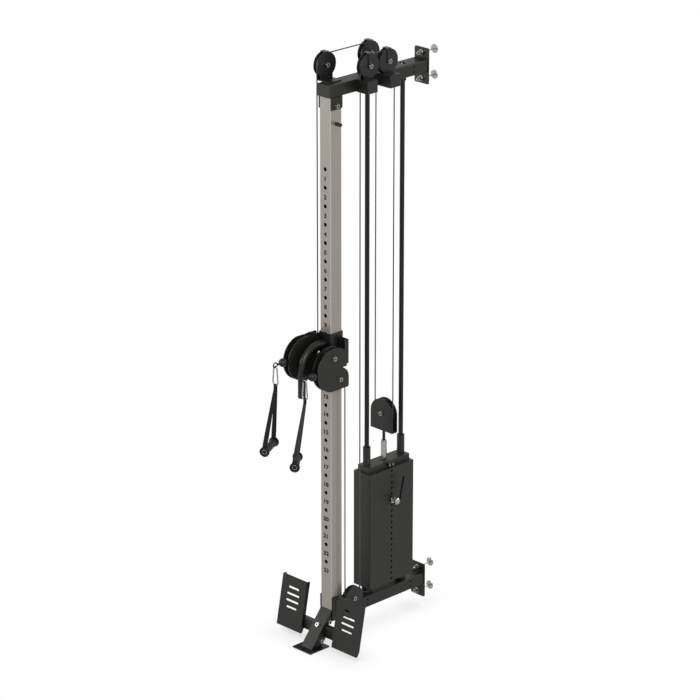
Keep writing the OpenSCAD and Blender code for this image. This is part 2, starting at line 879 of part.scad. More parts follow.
// The steel cable's stretches that stay with the frame
module cable_fixed() {
    color("#4a4a4a") {
        translate([-cable_x, front_pulley_y, overhead_z]) cable_bend(pulley_r, 90, 90);
        translate([-cable_x, front_pulley_y, overhead_z + pulley_r]) {
            bar_y(cable_d, rear_pulley_y - front_pulley_y, $fn = 24);
        }
        translate([-cable_x, rear_pulley_y, overhead_z]) cable_bend(pulley_r, 0, 90);
        translate([cable_x, rear_pulley_y, return_z]) cable_bend(pulley_r, 0, 90);
        translate([cable_x, return_pulley_y, return_z + pulley_r]) {
            bar_y(cable_d, rear_pulley_y - return_pulley_y, $fn = 24);
        }
        translate([cable_x, return_pulley_y, return_z]) cable_bend(pulley_r, 90, 90);
        translate([cable_x, return_y, bottom_pulley_z]) {
            cylinder(d = cable_d, h = return_z - bottom_pulley_z, $fn = 24);
        }
        translate([cable_x, bottom_pulley_y, bottom_pulley_z]) cable_bend(pulley_r, 180, 180);
    }
}

module cable_drop(x, y, z0, z1) {
    color("#4a4a4a") translate([x, y, z0]) cylinder(d = cable_d, h = z1 - z0, $fn = 24);
}

module cable_front_run() {
    cable_drop(-cable_x, -front_y, left_high[1], overhead_z);
}

module cable_rise_run() {
    cable_drop(cable_x, rise_y, bottom_pulley_z, right_low[1]);
}

module cable_lift_runs() {
    cable_drop(-cable_x, stack_y, lift_z, overhead_z);
    cable_drop(cable_x, stack_y, lift_z, return_z);
}

module cable_lift_loop() {
    color("#4a4a4a") translate([0, stack_y, lift_z]) rotate([0, 0, 90]) cable_bend(lift_r, 180, 180);
}

module selector_pin() {
    grip_x = weight_w / 2 + 24;
    tip_x = stem_d / 2 - 1;
    color("silver") translate([0, stack_y, pin_z - weight_gap / 2]) {
        translate([-tip_x, 0, 0]) rotate([0, 90, 0]) cylinder(d = pin_d, h = grip_x + tip_x);
        translate([weight_w / 2 + 2, 0, 0]) rotate([0, 90, 0]) cylinder(d = 26, h = 7);
        translate([grip_x, 0, 0]) rotate([0, 90, 0]) rotate_extrude() {
            polygon([[0, 0], [knob_r - 2, 0], [knob_r, 3], [knob_r, 9], [knob_r - 4, 13], [0, 14]]);
        }
    }
}

// Lever that leans beside the knob of the selector pin
module selector_lever() {
    lever_len = 110;
    lever_w = 11;
    lever_tail = 10;
    lean = 13;
    lever_y = (knob_r + seat_gap + lever_w / 2) / cos(lean);
    color("#222222") translate([weight_w / 2 + 26, stack_y + lever_y, pin_z - weight_gap / 2]) {
        rotate([-lean, 0, 0]) translate([0, -lever_w / 2, -lever_tail]) cube([8, lever_w, lever_len]);
    }
}

module trolley_sleeve() {
    barrel_d = 26;
    color("#2a2a29") difference() {
        union() {
            translate([0, 0, sleeve_z]) linear_extrude(sleeve_h) {
                tube_section(sleeve_w, sleeve_w, sleeve_wall, 4);
            }
            translate([0, -sleeve_w / 2 - 26, trolley_z]) bar_y(barrel_d, 26 + eps);
        }
        translate([0, -sleeve_w / 2 - 30, trolley_z]) bar_y(12.4, 40);
    }
}

module trolley_liners() {
    inner = upright_w + 0.6;
    outer = sleeve_w - 2 * sleeve_wall - 2 * shaft_gap;
    color("#15161a") for (z = [sleeve_z, sleeve_z + sleeve_h - liner_h]) {
        translate([0, 0, z]) linear_extrude(liner_h) difference() {
            round_rect(outer, outer, 1);
            round_rect(inner, inner, 3.7);
        }
    }
}

// Side view of a trolley cheek: a large disc set forward by lead, a lobe round the pulley
// that the cable enters at the back, and a tab that stands up along the sleeve
module cheek_shape(mid, lobe, lead) {
    back = sleeve_w / 2 - 2 - mid[0];
    front_cut = lobe[0] - mid[0] + 17;
    up = lobe[1] < mid[1] ? 0 : 1;
    lobe_x = abs(lobe[0] - mid[0]);
    lobe_z = abs(lobe[1] - mid[1]);
    corner = 9;
    translate(mid) mirror([0, up]) {
        intersection() {
            translate([-lead, 0]) circle(trolley_r, $fn = 96);
            union() {
                translate([-lead - trolley_r, -cheek_half]) {
                    square([lead + trolley_r + front_cut, cheek_half + trolley_r]);
                }
                square([back - tab_w / 2, trolley_r]);
            }
        }
        intersection() {
            translate([lobe_x, -lobe_z]) circle(lobe_r, $fn = 64);
            translate([0, -cheek_half]) square([lobe_x + lobe_r, cheek_half]);
        }
        translate([0, 10]) square([back, 50]);
        translate([back - tab_w / 2, (tab_top + 10) / 2]) round_rect(tab_w, tab_top - 10, 5);
        translate([0, -cheek_half]) square([lobe_x + lobe_r - corner, cheek_half - lobe_z]);
        translate([0, corner - cheek_half]) square([lobe_x + lobe_r, cheek_half - lobe_z - corner]);
        translate([lobe_x + lobe_r - corner, corner - cheek_half]) circle(corner);
    }
}

module cheek_holes(side) {
    for (p = side > 0 ? [right_low, right_high] : [left_low, left_high]) {
        translate([0, p[0], p[1]]) bar_x(axle_d + hole_play, 300);
    }
}

// Pair of cheeks on one side of the sleeve, joined by a rear web that is bent to the sleeve
module trolley_cheeks(side) {
    inner = cable_x - trolley_gap / 2;
    outer = cable_x + trolley_gap / 2;
    skin = inner - sleeve_w / 2 - fit_gap;
    back = sleeve_w / 2 - 2;
    mid = side > 0 ? right_mid : left_mid;
    lobe = side > 0 ? right_low : left_high;
    lead = side > 0 ? right_lead : left_lead;
    web_z = side > 0 ? mid[1] + 12 : mid[1] - tab_top + 2;
    difference() {
        union() {
            translate([side > 0 ? inner - skin : -inner, 0, 0]) {
                side_view(skin) cheek_shape(mid, lobe, lead);
            }
            translate([side > 0 ? outer : -outer - cheek_plate_t, 0, 0]) {
                side_view(cheek_plate_t) cheek_shape(mid, lobe, lead);
            }
            translate([side > 0 ? inner - 2 : -outer - 2, back - 4, web_z]) {
                cube([trolley_gap + 4, 4, tab_top - 14]);
            }
        }
        cheek_holes(side);
    }
}

module trolley_cheeks_right() {
    color("#3a3a38") trolley_cheeks(1);
}

module trolley_cheeks_left() {
    color("#2a2a29") trolley_cheeks(-1);
}

module grab_bar() {
    y0 = -sleeve_w / 2 - fit_gap;
    color("#2c2c2c") translate([0, y0, grab_z]) {
        translate([0, -grab_straight, 0]) bar_y(grab_d, grab_straight);
        translate([0, -grab_straight, -grab_bend]) rotate([90, 0, 90]) rotate([0, 0, 90]) {
            rotate_extrude(angle = 90, $fn = 96) translate([grab_bend, 0]) circle(d = grab_d);
        }
        translate([0, -grab_straight - grab_bend, -grab_bend - grab_leg]) cylinder(d = grab_d, h = grab_leg);
    }
}

// Axle bolts: the shank ends flush with the inner cheek, the head stands on the outer one
module trolley_axles() {
    head = cable_x + trolley_gap / 2 + cheek_plate_t + seat_gap;
    inner = sleeve_w / 2 + fit_gap;
    color("silver") for (s = [-1, 1], k = [0, 1]) {
        p = s > 0 ? [right_low, right_high][k] : [left_low, left_high][k];
        translate([0, p[0], p[1]]) {
            translate([s * (head + inner) / 2, 0, 0]) bar_x(axle_d, head - inner + eps);
            translate([s * head, 0, 0]) rotate([0, s * 90, 0]) cap_head(axle_d);
            for (t = [-1, 1]) {
                translate([s * cable_x + t * (pulley_w + trolley_gap) / 4, 0, 0]) {
                    bar_x(axle_d + 7, (trolley_gap - pulley_w) / 2 - 2 * fit_gap);
                }
            }
        }
    }
}

// The cable's bends on the trolley pulleys and the short runs out to the ball stops
module cable_trolley() {
    color("#4a4a4a") {
        translate([-cable_x, left_high[0], left_high[1]]) cable_bend(pulley_r, -90, 90);
        translate([-cable_x, left_ball_y + ball_d / 2, left_exit_z]) {
            bar_y(cable_d, left_high[0] - left_ball_y - ball_d / 2, $fn = 24);
        }
        translate([cable_x, right_low[0], right_low[1]]) cable_bend(pulley_r, 0, 90);
        translate([cable_x, right_ball_y + ball_d / 2, right_exit_z]) {
            bar_y(cable_d, right_low[0] - right_ball_y - ball_d / 2, $fn = 24);
        }
    }
}

// Pulled-out plunger of the trolley; pushed in, its tip enters a hole of the upright
module pop_pin() {
    out_y = -upright_w / 2 - 2;
    color("#222222") translate([0, 0, trolley_z]) {
        translate([0, out_y - 46, 0]) bar_y(12, 46);
        translate([0, out_y - 46 - 24, 0]) rotate([-90, 0, 0]) rotate_extrude() {
            polygon([[0, 0], [13, 0], [16, 4], [16, 18], [12, 24.01], [0, 24.01]]);
        }
    }
}

// Ball stop, swaged stem and eye on the cable, with the ball at the origin
module cable_end() {
    sphere(d = ball_d);
    translate([0, -eye_reach + eye_r + 1, 0]) bar_y(9, eye_reach - eye_r);
    translate([0, -eye_reach, 0]) rotate([0, 90, 0]) rotate_extrude() {
        translate([eye_r, 0]) circle(d = eye_wire, $fn = 24);
    }
}

module cable_end_left() {
    color("#222222") translate([-cable_x, left_ball_y, left_exit_z]) cable_end();
}

module cable_end_right() {
    color("#222222") translate([cable_x, right_ball_y, right_exit_z]) cable_end();
}

// Oval snap hook hanging in the XZ plane; its top bar lies in the eye
module snap_hook() {
    top_r = 9;
    low_r = hook_w / 2 - hook_wire / 2;
    leg = hook_len - top_r - low_r - hook_wire;
    module bow(r, a0) {
        rotate([90, 0, 0]) rotate([0, 0, a0]) rotate_extrude(angle = 180, $fn = 64) {
            translate([r, 0]) circle(d = hook_wire, $fn = 24);
        }
    }
    translate([0, 0, -top_r]) bow(top_r, 0);
    translate([0, 0, -top_r - leg]) bow(low_r, 180);
    for (s = [-1, 1]) {
        hull() {
            translate([s * top_r, 0, -top_r]) sphere(d = hook_wire, $fn = 16);
            translate([s * low_r, 0, -top_r - leg]) sphere(d = hook_wire, $fn = 16);
        }
    }
}

function eye_hang() = eye_r - eye_wire / 2 - hook_wire / 2 - fit_gap;
function hook_bottom() = hook_len - hook_wire;

module hang(ball_y, exit_z, side) {
    translate([side * cable_x, ball_y - eye_reach, exit_z - eye_hang()]) children();
}

// Webbing from the snap hook down to both ends of the grip and through it
module strap(lean, turn) {
    axis = [cos(turn), sin(turn), 0];
    top = [0, 0, -hook_bottom() - hook_wire / 2 - web_t / 2 - fit_gap];
    end = (grip_len + web_t) / 2;
    rise = grip_cap_d / 2 + 3;
    gathered = 0.6 * web_w;
    for (s = [-1, 1]) {
        hull() {
            translate(top + s * 4 * axis) rotate([0, 0, turn]) cube([web_t, gathered, web_t], center = true);
            translate([0, -lean, rise - grip_drop] + s * end * axis) {
                rotate([0, 0, turn]) cube([web_t, web_w, web_t], center = true);
            }
        }
        translate([0, -lean, rise / 2 - grip_drop - 3] + s * end * axis) {
            rotate([0, 0, turn]) cube([web_t - 0.2, web_w - 0.2, rise + 8], center = true);
        }
    }
    translate(top) rotate([0, 0, turn]) cube([9, gathered - 0.4, web_t - 0.2], center = true);
    translate([0, -lean, -grip_drop]) rotate([0, 0, turn]) bar_x(core_d, grip_len + web_t);
}

// Grip tube with a flat cap at each end, bored for the webbing
module grip(lean, turn) {
    cap_t = 5;
    translate([0, -lean, -grip_drop]) rotate([0, 0, turn]) difference() {
        union() {
            bar_x(grip_d, grip_len - 2 * fit_gap);
            for (s = [-1, 1]) {
                translate([s * (grip_len / 2 - cap_t / 2 - fit_gap), 0, 0]) bar_x(grip_cap_d, cap_t);
            }
        }
        bar_x(core_d + 2 * fit_gap, grip_len + 2);
    }
}

module snap_hook_left() {
    color("silver") hang(left_ball_y, left_exit_z, -1) snap_hook();
}

module snap_hook_right() {
    color("silver") hang(right_ball_y, right_exit_z, 1) snap_hook();
}

module strap_left() {
    color("#202020") hang(left_ball_y, left_exit_z, -1) strap(left_lean, left_turn);
}

module strap_right() {
    color("#202020") hang(right_ball_y, right_exit_z, 1) strap(right_lean, right_turn);
}

module grip_left() {
    color("#181818") hang(left_ball_y, left_exit_z, -1) grip(left_lean, left_turn);
}

module grip_right() {
    color("#181818") hang(right_ball_y, right_exit_z, 1) grip(right_lean, right_turn);
}

module pulley_front() {
    color("#1e1e1e") translate([-cable_x, front_pulley_y, overhead_z]) pulley(pulley_r, rim_r, pulley_w);
}

module pulley_rear() {
    color("#1e1e1e") translate([-cable_x, rear_pulley_y, overhead_z]) pulley(pulley_r, rim_r, pulley_w);
}

module pulley_return_front() {
    color("#1e1e1e") translate([cable_x, return_pulley_y, return_z]) pulley(pulley_r, rim_r, pulley_w);
}

module pulley_return_rear() {
    color("#1e1e1e") translate([cable_x, rear_pulley_y, return_z]) pulley(pulley_r, rim_r, pulley_w);
}

module pulley_bottom() {
    color("#1e1e1e") translate([cable_x, bottom_pulley_y, bottom_pulley_z]) pulley(pulley_r, rim_r, pulley_w);
}

module pulley_lift() {
    color("#1e1e1e") translate([0, stack_y, lift_z]) rotate([0, 0, 90]) pulley(lift_r, lift_rim_r, pulley_w);
}

module trolley_pulley(side, at) {
    color("#1e1e1e") translate([side * cable_x, at[0], at[1]]) pulley(pulley_r, rim_r, pulley_w);
}

module pulley_left_low() {
    trolley_pulley(-1, left_low);
}

module pulley_left_high() {
    trolley_pulley(-1, left_high);
}

module pulley_right_low() {
    trolley_pulley(1, right_low);
}

module pulley_right_high() {
    trolley_pulley(1, right_high);
}

upright();
upright_stop_pin();
upright_brackets();
top_beam();
wall_plates();
wall_anchors();
lower_beam();
foot_strut();
foot_base();
crossbar();
footplate_left();
footplate_right();
frame_bolts();
guide_rods();
rod_collars();
rod_bumpers();
overhead_blocks();
bottom_block();
keeper_straps();
plates_resting();
cable_fixed();
cable_front_run();
cable_rise_run();
cable_lift_runs();
plates_lifted();
head_plate();
selector_stem();
turnbuckle();
lift_rod();
lift_block();
lift_axle();
cable_lift_loop();
selector_pin();
selector_lever();
trolley_sleeve();
trolley_liners();
trolley_cheeks_right();
trolley_cheeks_left();
grab_bar();
trolley_axles();
cable_trolley();
pop_pin();
cable_end_left();
cable_end_right();
snap_hook_left();
snap_hook_right();
strap_left();
strap_right();
grip_left();
grip_right();
pulley_front();
pulley_rear();
pulley_return_front();
pulley_return_rear();
pulley_bottom();
pulley_lift();
pulley_left_low();
pulley_left_high();
pulley_right_low();
pulley_right_high();
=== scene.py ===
# %% [markdown]
# A cable machine is mostly painted steel tube, so its likeness lives in proportions that come
# from the imported model and in how its finishes catch soft light. This script loads that model,
# dresses each node, and adds the pieces that only need to look right: the numbers on the
# upright, the webbing, the foam grips with their caps, two small screws, and the lengths of
# cable between the pulleys and out to the ball stops.

# %% Load the frame
import json
import math

import bpy
import bmesh
from mathutils import Matrix, Vector


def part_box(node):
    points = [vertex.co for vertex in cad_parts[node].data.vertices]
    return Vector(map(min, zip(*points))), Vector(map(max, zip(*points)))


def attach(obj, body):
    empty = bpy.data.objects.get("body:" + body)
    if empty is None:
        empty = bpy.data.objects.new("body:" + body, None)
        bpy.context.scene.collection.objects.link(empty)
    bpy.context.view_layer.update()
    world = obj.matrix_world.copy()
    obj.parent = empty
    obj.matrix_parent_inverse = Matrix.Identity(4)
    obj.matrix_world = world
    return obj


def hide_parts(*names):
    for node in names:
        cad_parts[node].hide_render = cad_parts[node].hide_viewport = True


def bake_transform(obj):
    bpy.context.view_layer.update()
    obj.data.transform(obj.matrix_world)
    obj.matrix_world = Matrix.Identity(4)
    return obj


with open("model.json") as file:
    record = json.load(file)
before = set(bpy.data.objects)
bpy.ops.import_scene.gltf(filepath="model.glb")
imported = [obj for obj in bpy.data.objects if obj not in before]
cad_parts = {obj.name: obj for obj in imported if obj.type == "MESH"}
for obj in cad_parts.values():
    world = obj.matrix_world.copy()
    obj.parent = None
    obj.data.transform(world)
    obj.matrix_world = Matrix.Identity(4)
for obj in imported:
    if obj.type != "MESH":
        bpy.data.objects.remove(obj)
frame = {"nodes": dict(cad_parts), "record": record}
bpy.ops.object.select_all(action="DESELECT")
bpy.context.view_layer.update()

# %% [markdown]
# The camera stands where the photograph's did: far away with a long lens, so that upright lines
# stay almost parallel. Its three axes are worked out from two angles, and the picture's centre
# is moved beside the upright by sliding the camera along its own axes.

# %% Camera
CAMERA_TURN = math.radians(45.42)
CAMERA_HEIGHT = math.radians(20.451)
CAMERA_DISTANCE = 13.465
CAMERA_SLIDE = (0.0744, 0.2742)
CAMERA_LENS = 174.75
CAMERA_SENSOR = 36.0
CAMERA_REACH = 100.0
CAMERA_TARGET = Vector((0.0, 0.0, 0.957))


def add_camera():
    turn, height = CAMERA_TURN, CAMERA_HEIGHT
    back = Vector((
        math.sin(turn) * math.cos(height), -math.cos(turn) * math.cos(height), math.sin(height)))
    right = Vector((math.cos(turn), math.sin(turn), 0.0))
    up = back.cross(right)
    place = CAMERA_TARGET + right * CAMERA_SLIDE[0] + up * CAMERA_SLIDE[1] + back * CAMERA_DISTANCE
    data = bpy.data.cameras.new("camera")
    data.lens = CAMERA_LENS
    data.sensor_width = CAMERA_SENSOR
    data.clip_end = CAMERA_REACH
    camera = bpy.data.objects.new("camera", data)
    bpy.context.scene.collection.objects.link(camera)
    axes = Matrix((right, up, back)).transposed().to_4x4()
    camera.matrix_world = Matrix.Translation(place) @ axes
    bpy.context.scene.camera = camera
    return camera


camera = add_camera()
print("camera at", [round(v, 3) for v in camera.location])

# %% [markdown]
# Shader maths reads best as arithmetic. A socket is wrapped in a small class whose operators add
# Math nodes, and one function adds any other node with its settings and inputs.

# %% Shader helper
class Value:
    """A node socket that can be used in arithmetic."""

    def __init__(self, tree, socket):
        self.tree = tree
        self.socket = socket

    def __add__(self, other):
        return calculate(self.tree, "ADD", self, other)

    def __radd__(self, other):
        return calculate(self.tree, "ADD", other, self)

    def __sub__(self, other):
        return calculate(self.tree, "SUBTRACT", self, other)

    def __rsub__(self, other):
        return calculate(self.tree, "SUBTRACT", other, self)

    def __mul__(self, other):
        return calculate(self.tree, "MULTIPLY", self, other)

    def __rmul__(self, other):
        return calculate(self.tree, "MULTIPLY", other, self)


def plug(tree, slot, item):
    if isinstance(item, Value):
        tree.links.new(item.socket, slot)
    else:
        slot.default_value = item


def calculate(tree, operation, *items):
    """Math node on sockets and numbers, in their order."""
    new = tree.nodes.new("ShaderNodeMath")
    new.operation = operation
    for slot, item in zip(new.inputs, items):
        plug(tree, slot, item)
    return Value(tree, new.outputs[0])


def add_node(tree, kind, settings=None, output=0, **inputs):
    """Any other node: its type, its settings, the socket it gives, and its inputs by name."""
    new = tree.nodes.new("ShaderNode" + kind)
    for name, setting in (settings or {}).items():
        setattr(new, name, setting)
    for name, item in inputs.items():
        plug(tree, new.inputs[name.replace("_", " ")], item)
    return Value(tree, new.outputs[output])


# %% [markdown]
# Every finish starts from the same few steps: a Principled shader, a place on the object in
# metres, a colour that moves between two colours, and a bump that feeds the normal. Each step
# is a short function, so that a finish reads as its recipe.

# %% Steps that every finish uses
def new_material(name):
    """Material with a plain Principled shader; gives the material, its tree and the shader."""
    made = bpy.data.materials.new(name)
    made.use_nodes = True
    tree = made.node_tree
    return made, tree, tree.nodes["Principled BSDF"]


def object_point(tree, scale=(1.0, 1.0, 1.0)):
    """Place on the object in metres, stretched by scale."""
    place = add_node(tree, "TexCoord", output=3)
    return add_node(tree, "Mapping", Vector=place, Scale=scale)


def off_middle(tree, axis, middle=0.0):
    """Distance from a plane through middle, square to axis 0 (X) or 1 (Y)."""
    along = add_node(tree, "SeparateXYZ", output=axis, Vector=object_point(tree))
    return calculate(tree, "ABSOLUTE", along - middle)


def tint(tree, mask, dark, light):
    """Colour between two colours, by mask."""
    mix = tree.nodes.new("ShaderNodeMix")
    mix.data_type = "RGBA"
    plug(tree, mix.inputs[0], mask)
    for slot, colour in ((mix.inputs[6], dark), (mix.inputs[7], light)):
        plug(tree, slot, colour if isinstance(colour, Value) else (*colour, 1.0))
    return Value(tree, mix.outputs[2])


def set_bump(tree, shader, height, distance, strength, edge=0.0):
    """Bump that feeds Normal, over softly rounded edges when edge is above 0."""
    bump = tree.nodes.new("ShaderNodeBump")
    bump.inputs["Distance"].default_value = distance
    bump.inputs["Strength"].default_value = strength
    plug(tree, bump.inputs["Height"], height)
    if edge > 0.0:
        bevel = tree.nodes.new("ShaderNodeBevel")
        bevel.samples = 4
        bevel.inputs["Radius"].default_value = edge
        tree.links.new(bevel.outputs[0], bump.inputs["Normal"])
    tree.links.new(bump.outputs[0], shader.inputs["Normal"])


# %% [markdown]
# Powder coat is a fine orange peel: bumps about a millimetre across, a satin gloss that varies
# a little, and a tone that drifts over a hand's width. Noise at those three scales is enough,
# and the same recipe with other numbers gives the satin paint of the small parts. The bores in
# the weight plates look black on the real stack, because no light comes out of them, so their
# walls get a painted shade of near black. The place on the object tells their walls from the
# plates' painted faces.

# %% Painted steel
PAINTED_SHADE = (0.0004, 0.0004, 0.0004)
CLOUD_SCALE = 7.0
SPECK_SCALE = 260.0
CLOUD_SHARE = 0.7
TONE_DRIFT = 0.25
GLOSS_SWING = 0.1
PAINT_STRENGTH = 0.8
PAINTED_EDGE = 0.0008
PLATE_SKIN = 0.0008
BORE_REACH = 0.007


def inside_bores(tree, half_width, middle, reach):
    """1 within reach of the row of bores and under the outer skin, and 0 elsewhere."""
    under_skin = calculate(tree, "LESS_THAN", off_middle(tree, 0), half_width)
    near_row = calculate(tree, "LESS_THAN", off_middle(tree, 1, middle), reach)
    return under_skin * near_row


def painted(name, tone, rough, peel=0.00006, grain=900.0, gloss=0.3, bores=None):
    """Speckled satin paint; bores gives the half width, middle and reach of a row of holes in painted
    shade.
    """
    made, tree, shader = new_material(name)
    shader.inputs["Specular IOR Level"].default_value = gloss
    spot = object_point(tree)
    fine = add_node(tree, "TexNoise", Vector=spot, Scale=grain, Detail=2.0)
    broad = add_node(tree, "TexNoise", Vector=spot, Scale=CLOUD_SCALE, Detail=3.0)
    speck = add_node(tree, "TexNoise", Vector=spot, Scale=SPECK_SCALE, Detail=1.0)
    mask = broad * CLOUD_SHARE + speck * (1.0 - CLOUD_SHARE)
    low = tuple(c * (1.0 - TONE_DRIFT) for c in tone)
    high = tuple(c * (1.0 + TONE_DRIFT) for c in tone)
    colour = tint(tree, mask, low, high)
    if bores:
        # The bores' walls get a painted shade of near black.
        colour = tint(tree, inside_bores(tree, *bores), colour, PAINTED_SHADE)
    plug(tree, shader.inputs["Base Color"], colour)
    plug(tree, shader.inputs["Roughness"], rough + (broad - 0.5) * GLOSS_SWING)
    set_bump(tree, shader, fine, peel, PAINT_STRENGTH, PAINTED_EDGE)
    return made


weight_low, weight_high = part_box("plates_resting")
PIN_BORES = (weight_high.x - PLATE_SKIN, (weight_low.y + weight_high.y) / 2, BORE_REACH)
POWDER = painted("black_powder_coat", (0.0068, 0.0068, 0.0058), 0.46, gloss=0.27)
SATIN = painted("black_satin_paint", (0.004, 0.004, 0.0037), 0.36, 0.00003, 1200.0)
WEIGHT = painted("weight_plate_coat", (0.0095, 0.0096, 0.0078), 0.48, 0.00008, 700.0, bores=PIN_BORES)
RODS = painted("guide_rod_black", (0.003, 0.003, 0.003), 0.3, 0.00001, 1500.0, gloss=0.25)
print("four paints; the bores run at Y", round(PIN_BORES[1], 3))

# %% [markdown]
# The upright is drawn steel with a grey satin lacquer. The light on it runs in long thin lines,
# because the tube was polished along its length: noise that is stretched along Z gives them.
# Inside, the tube's wall gets a painted shade of near black, so its holes read black, and its
# rounded corners are painted lighter as a highlight: the place on the object tells the inner
# wall, the faces and the corners apart.

# %% Brushed upright
TUBE_SKIN = 0.0286
INNER_WALL_SHADE = (0.004, 0.004, 0.004)
CORNER_START = 0.0272
CORNER_HIGHLIGHT = (0.39, 0.362, 0.335)
STREAK_STRETCH = (900.0, 900.0, 3.0)
STREAK_SHARE = 0.6
STREAK_SWING = 0.08
LACQUER_CLOUD = 4.0
LACQUER_METAL = 0.55
LACQUER_BUMP = 0.00002


def brushed(name, low, high, rough):
    made, tree, shader = new_material(name)
    streak = add_node(tree, "TexNoise", Vector=object_point(tree, STREAK_STRETCH), Scale=1.0, Detail=3.0)
    cloud = add_node(tree, "TexNoise", Vector=object_point(tree), Scale=LACQUER_CLOUD, Detail=2.0)
    streaks_and_highlight = tint(tree, streak * STREAK_SHARE + cloud * (1.0 - STREAK_SHARE), low, high)
    side, front = off_middle(tree, 0), off_middle(tree, 1)
    corner = calculate(tree, "GREATER_THAN", calculate(tree, "MINIMUM", side, front), CORNER_START)
    # The rounded corners are painted lighter as a highlight.
    streaks_and_highlight = tint(tree, corner, streaks_and_highlight, CORNER_HIGHLIGHT)
    outside = calculate(tree, "GREATER_THAN", calculate(tree, "MAXIMUM", side, front), TUBE_SKIN)
    # The inner wall gets a painted shade of near black.
    plug(tree, shader.inputs["Base Color"], tint(tree, outside, INNER_WALL_SHADE, streaks_and_highlight))
    plug(tree, shader.inputs["Roughness"], rough + streak * STREAK_SWING)
    shader.inputs["Metallic"].default_value = LACQUER_METAL
    set_bump(tree, shader, streak, LACQUER_BUMP, 0.5, PAINTED_EDGE)
    return made


UPRIGHT = brushed("upright_satin_steel", (0.243, 0.214, 0.187), (0.298, 0.266, 0.236), 0.27)
print("upright finish", UPRIGHT.name)

# %% [markdown]
# Bolts, axles and snap hooks are zinc plated, and the selector stem and the cap rings are
# ground steel. Both are pure metal with a faint haze. A bolt's hexagon socket is a deep dark
# dot on the real machine, but a bright world lights a small socket too well, so an Ambient
# Occlusion node darkens what lies deep. Rubber, nylon and foam are the paint recipe with a
# finer or coarser grain.

# %% Bright metal, plastics and rubber
SOCKET_SHADE = 0.006
HAZE_SCALE = 180.0
HAZE_DARK = 0.8
HAZE_SWING = 0.12
HAZE_BUMP = 0.00002
METAL_EDGE = 0.0004


def metal(name, tone, rough):
    made, tree, shader = new_material(name)
    haze = add_node(tree, "TexNoise", Vector=object_point(tree), Scale=HAZE_SCALE, Detail=3.0)
    low = tuple(c * HAZE_DARK for c in tone)
    recess = add_node(tree, "AmbientOcclusion", {"samples": 8}, output=1, Distance=SOCKET_SHADE)
    plug(tree, shader.inputs["Base Color"], tint(tree, recess, PAINTED_SHADE, tint(tree, haze, low, tone)))
    plug(tree, shader.inputs["Roughness"], rough + haze * HAZE_SWING)
    shader.inputs["Metallic"].default_value = 1.0
    set_bump(tree, shader, haze, HAZE_BUMP, 0.4, METAL_EDGE)
    return made


ZINC = metal("zinc_plate", (0.36, 0.343, 0.32), 0.18)
STEM = metal("ground_steel", (0.26, 0.26, 0.26), 0.25)
NYLON = painted("pulley_nylon", (0.0035, 0.0035, 0.0035), 0.34, 0.00002, 1500.0)
RUBBER = painted("black_rubber", (0.0035, 0.0035, 0.0035), 0.42, 0.00004, 1600.0)
FOAM = painted("grip_foam", (0.0085, 0.0085, 0.0088), 0.6, 0.0002, 1300.0)
print("two metals, nylon, rubber and foam")

# %% [markdown]
# The cable is steel strand in a clear dark jacket. Its strands show as slanted lines, and a wave
# texture whose bands run diagonally over Object coordinates draws them. A helix of real wires
# would be finer than the picture shows.

# %% Cable jacket, and every node's finish
STRAND_SCALE = 220.0
STRAND_DARK = (0.01, 0.01, 0.01)
STRAND_LIGHT = (0.03, 0.03, 0.0295)
STRAND_BUMP = 0.0001
JACKET_ROUGH = 0.32


def cable_material():
    made, tree, shader = new_material("cable_jacket")
    strand = add_node(
        tree, "TexWave", {"wave_type": "BANDS", "bands_direction": "DIAGONAL"},
        Vector=object_point(tree), Scale=STRAND_SCALE, Distortion=0.4)
    plug(tree, shader.inputs["Base Color"], tint(tree, strand, STRAND_DARK, STRAND_LIGHT))
    shader.inputs["Roughness"].default_value = JACKET_ROUGH
    set_bump(tree, shader, strand, STRAND_BUMP, 0.5)
    return made


CABLE = cable_material()
SLOT_FINISH = {
    "brushed_upright": UPRIGHT,
    "black_powder": POWDER,
    "black_satin": SATIN,
    "weight_black": WEIGHT,
    "rod_black": RODS,
    "zinc": ZINC,
    "stem_steel": STEM,
    "pulley_nylon": NYLON,
    "liner_nylon": NYLON,
    "cable_jacket": CABLE,
    "rubber": RUBBER,
    "webbing": RUBBER,
    "grip_foam": FOAM,
}


def dress(piece, material):
    piece.data.materials.clear()
    piece.data.materials.append(material)


for row in frame["record"]["subparts"]:
    dress(frame["nodes"][row["node"]], SLOT_FINISH[row["material_slot"]])
print("dressed", len(frame["nodes"]), "nodes")

# %% [markdown]
# A model in space needs a quiet room: a white floor and a white world that the camera sees, and
# three soft lamps at a plain level. The floor shows white to the camera and to reflections, and
# only its shadow under the machine is grey. Each lamp has a name, a place, a width and a power.

# %% Room and light
LAMPS = (
    ("key_lamp", (4.2, -3.6, 4.6), 2.6, 247.0),
    ("fill_lamp", (-3.8, -4.6, 2.8), 3.0, 160.0),
    ("back_lamp", (1.5, 4.5, 3.8), 2.4, 110.0),
)
LAMP_TARGET = Vector((0.0, 0.1, 1.1))
WORLD_LEVEL = 0.5
WHITE = (1.0, 1.0, 1.0)
FLOOR_SIDE = 60.0
FLOOR_DROP = 0.0005
FLOOR_BASE = (0.8, 0.8, 0.8)
FLOOR_ROUGH = 0.9
SHADE_GREY = (0.55, 0.55, 0.55)
SHADE_REACH = 0.12


def add_lamp(name, place, size, power):
    data = bpy.data.lights.new(name, "AREA")
    data.shape = "DISK"
    data.size = size
    data.energy = power
    lamp = bpy.data.objects.new(name, data)
    bpy.context.scene.collection.objects.link(lamp)
    lamp.location = place
    lamp.rotation_euler = (LAMP_TARGET - Vector(place)).to_track_quat("-Z", "Y").to_euler()
    return lamp


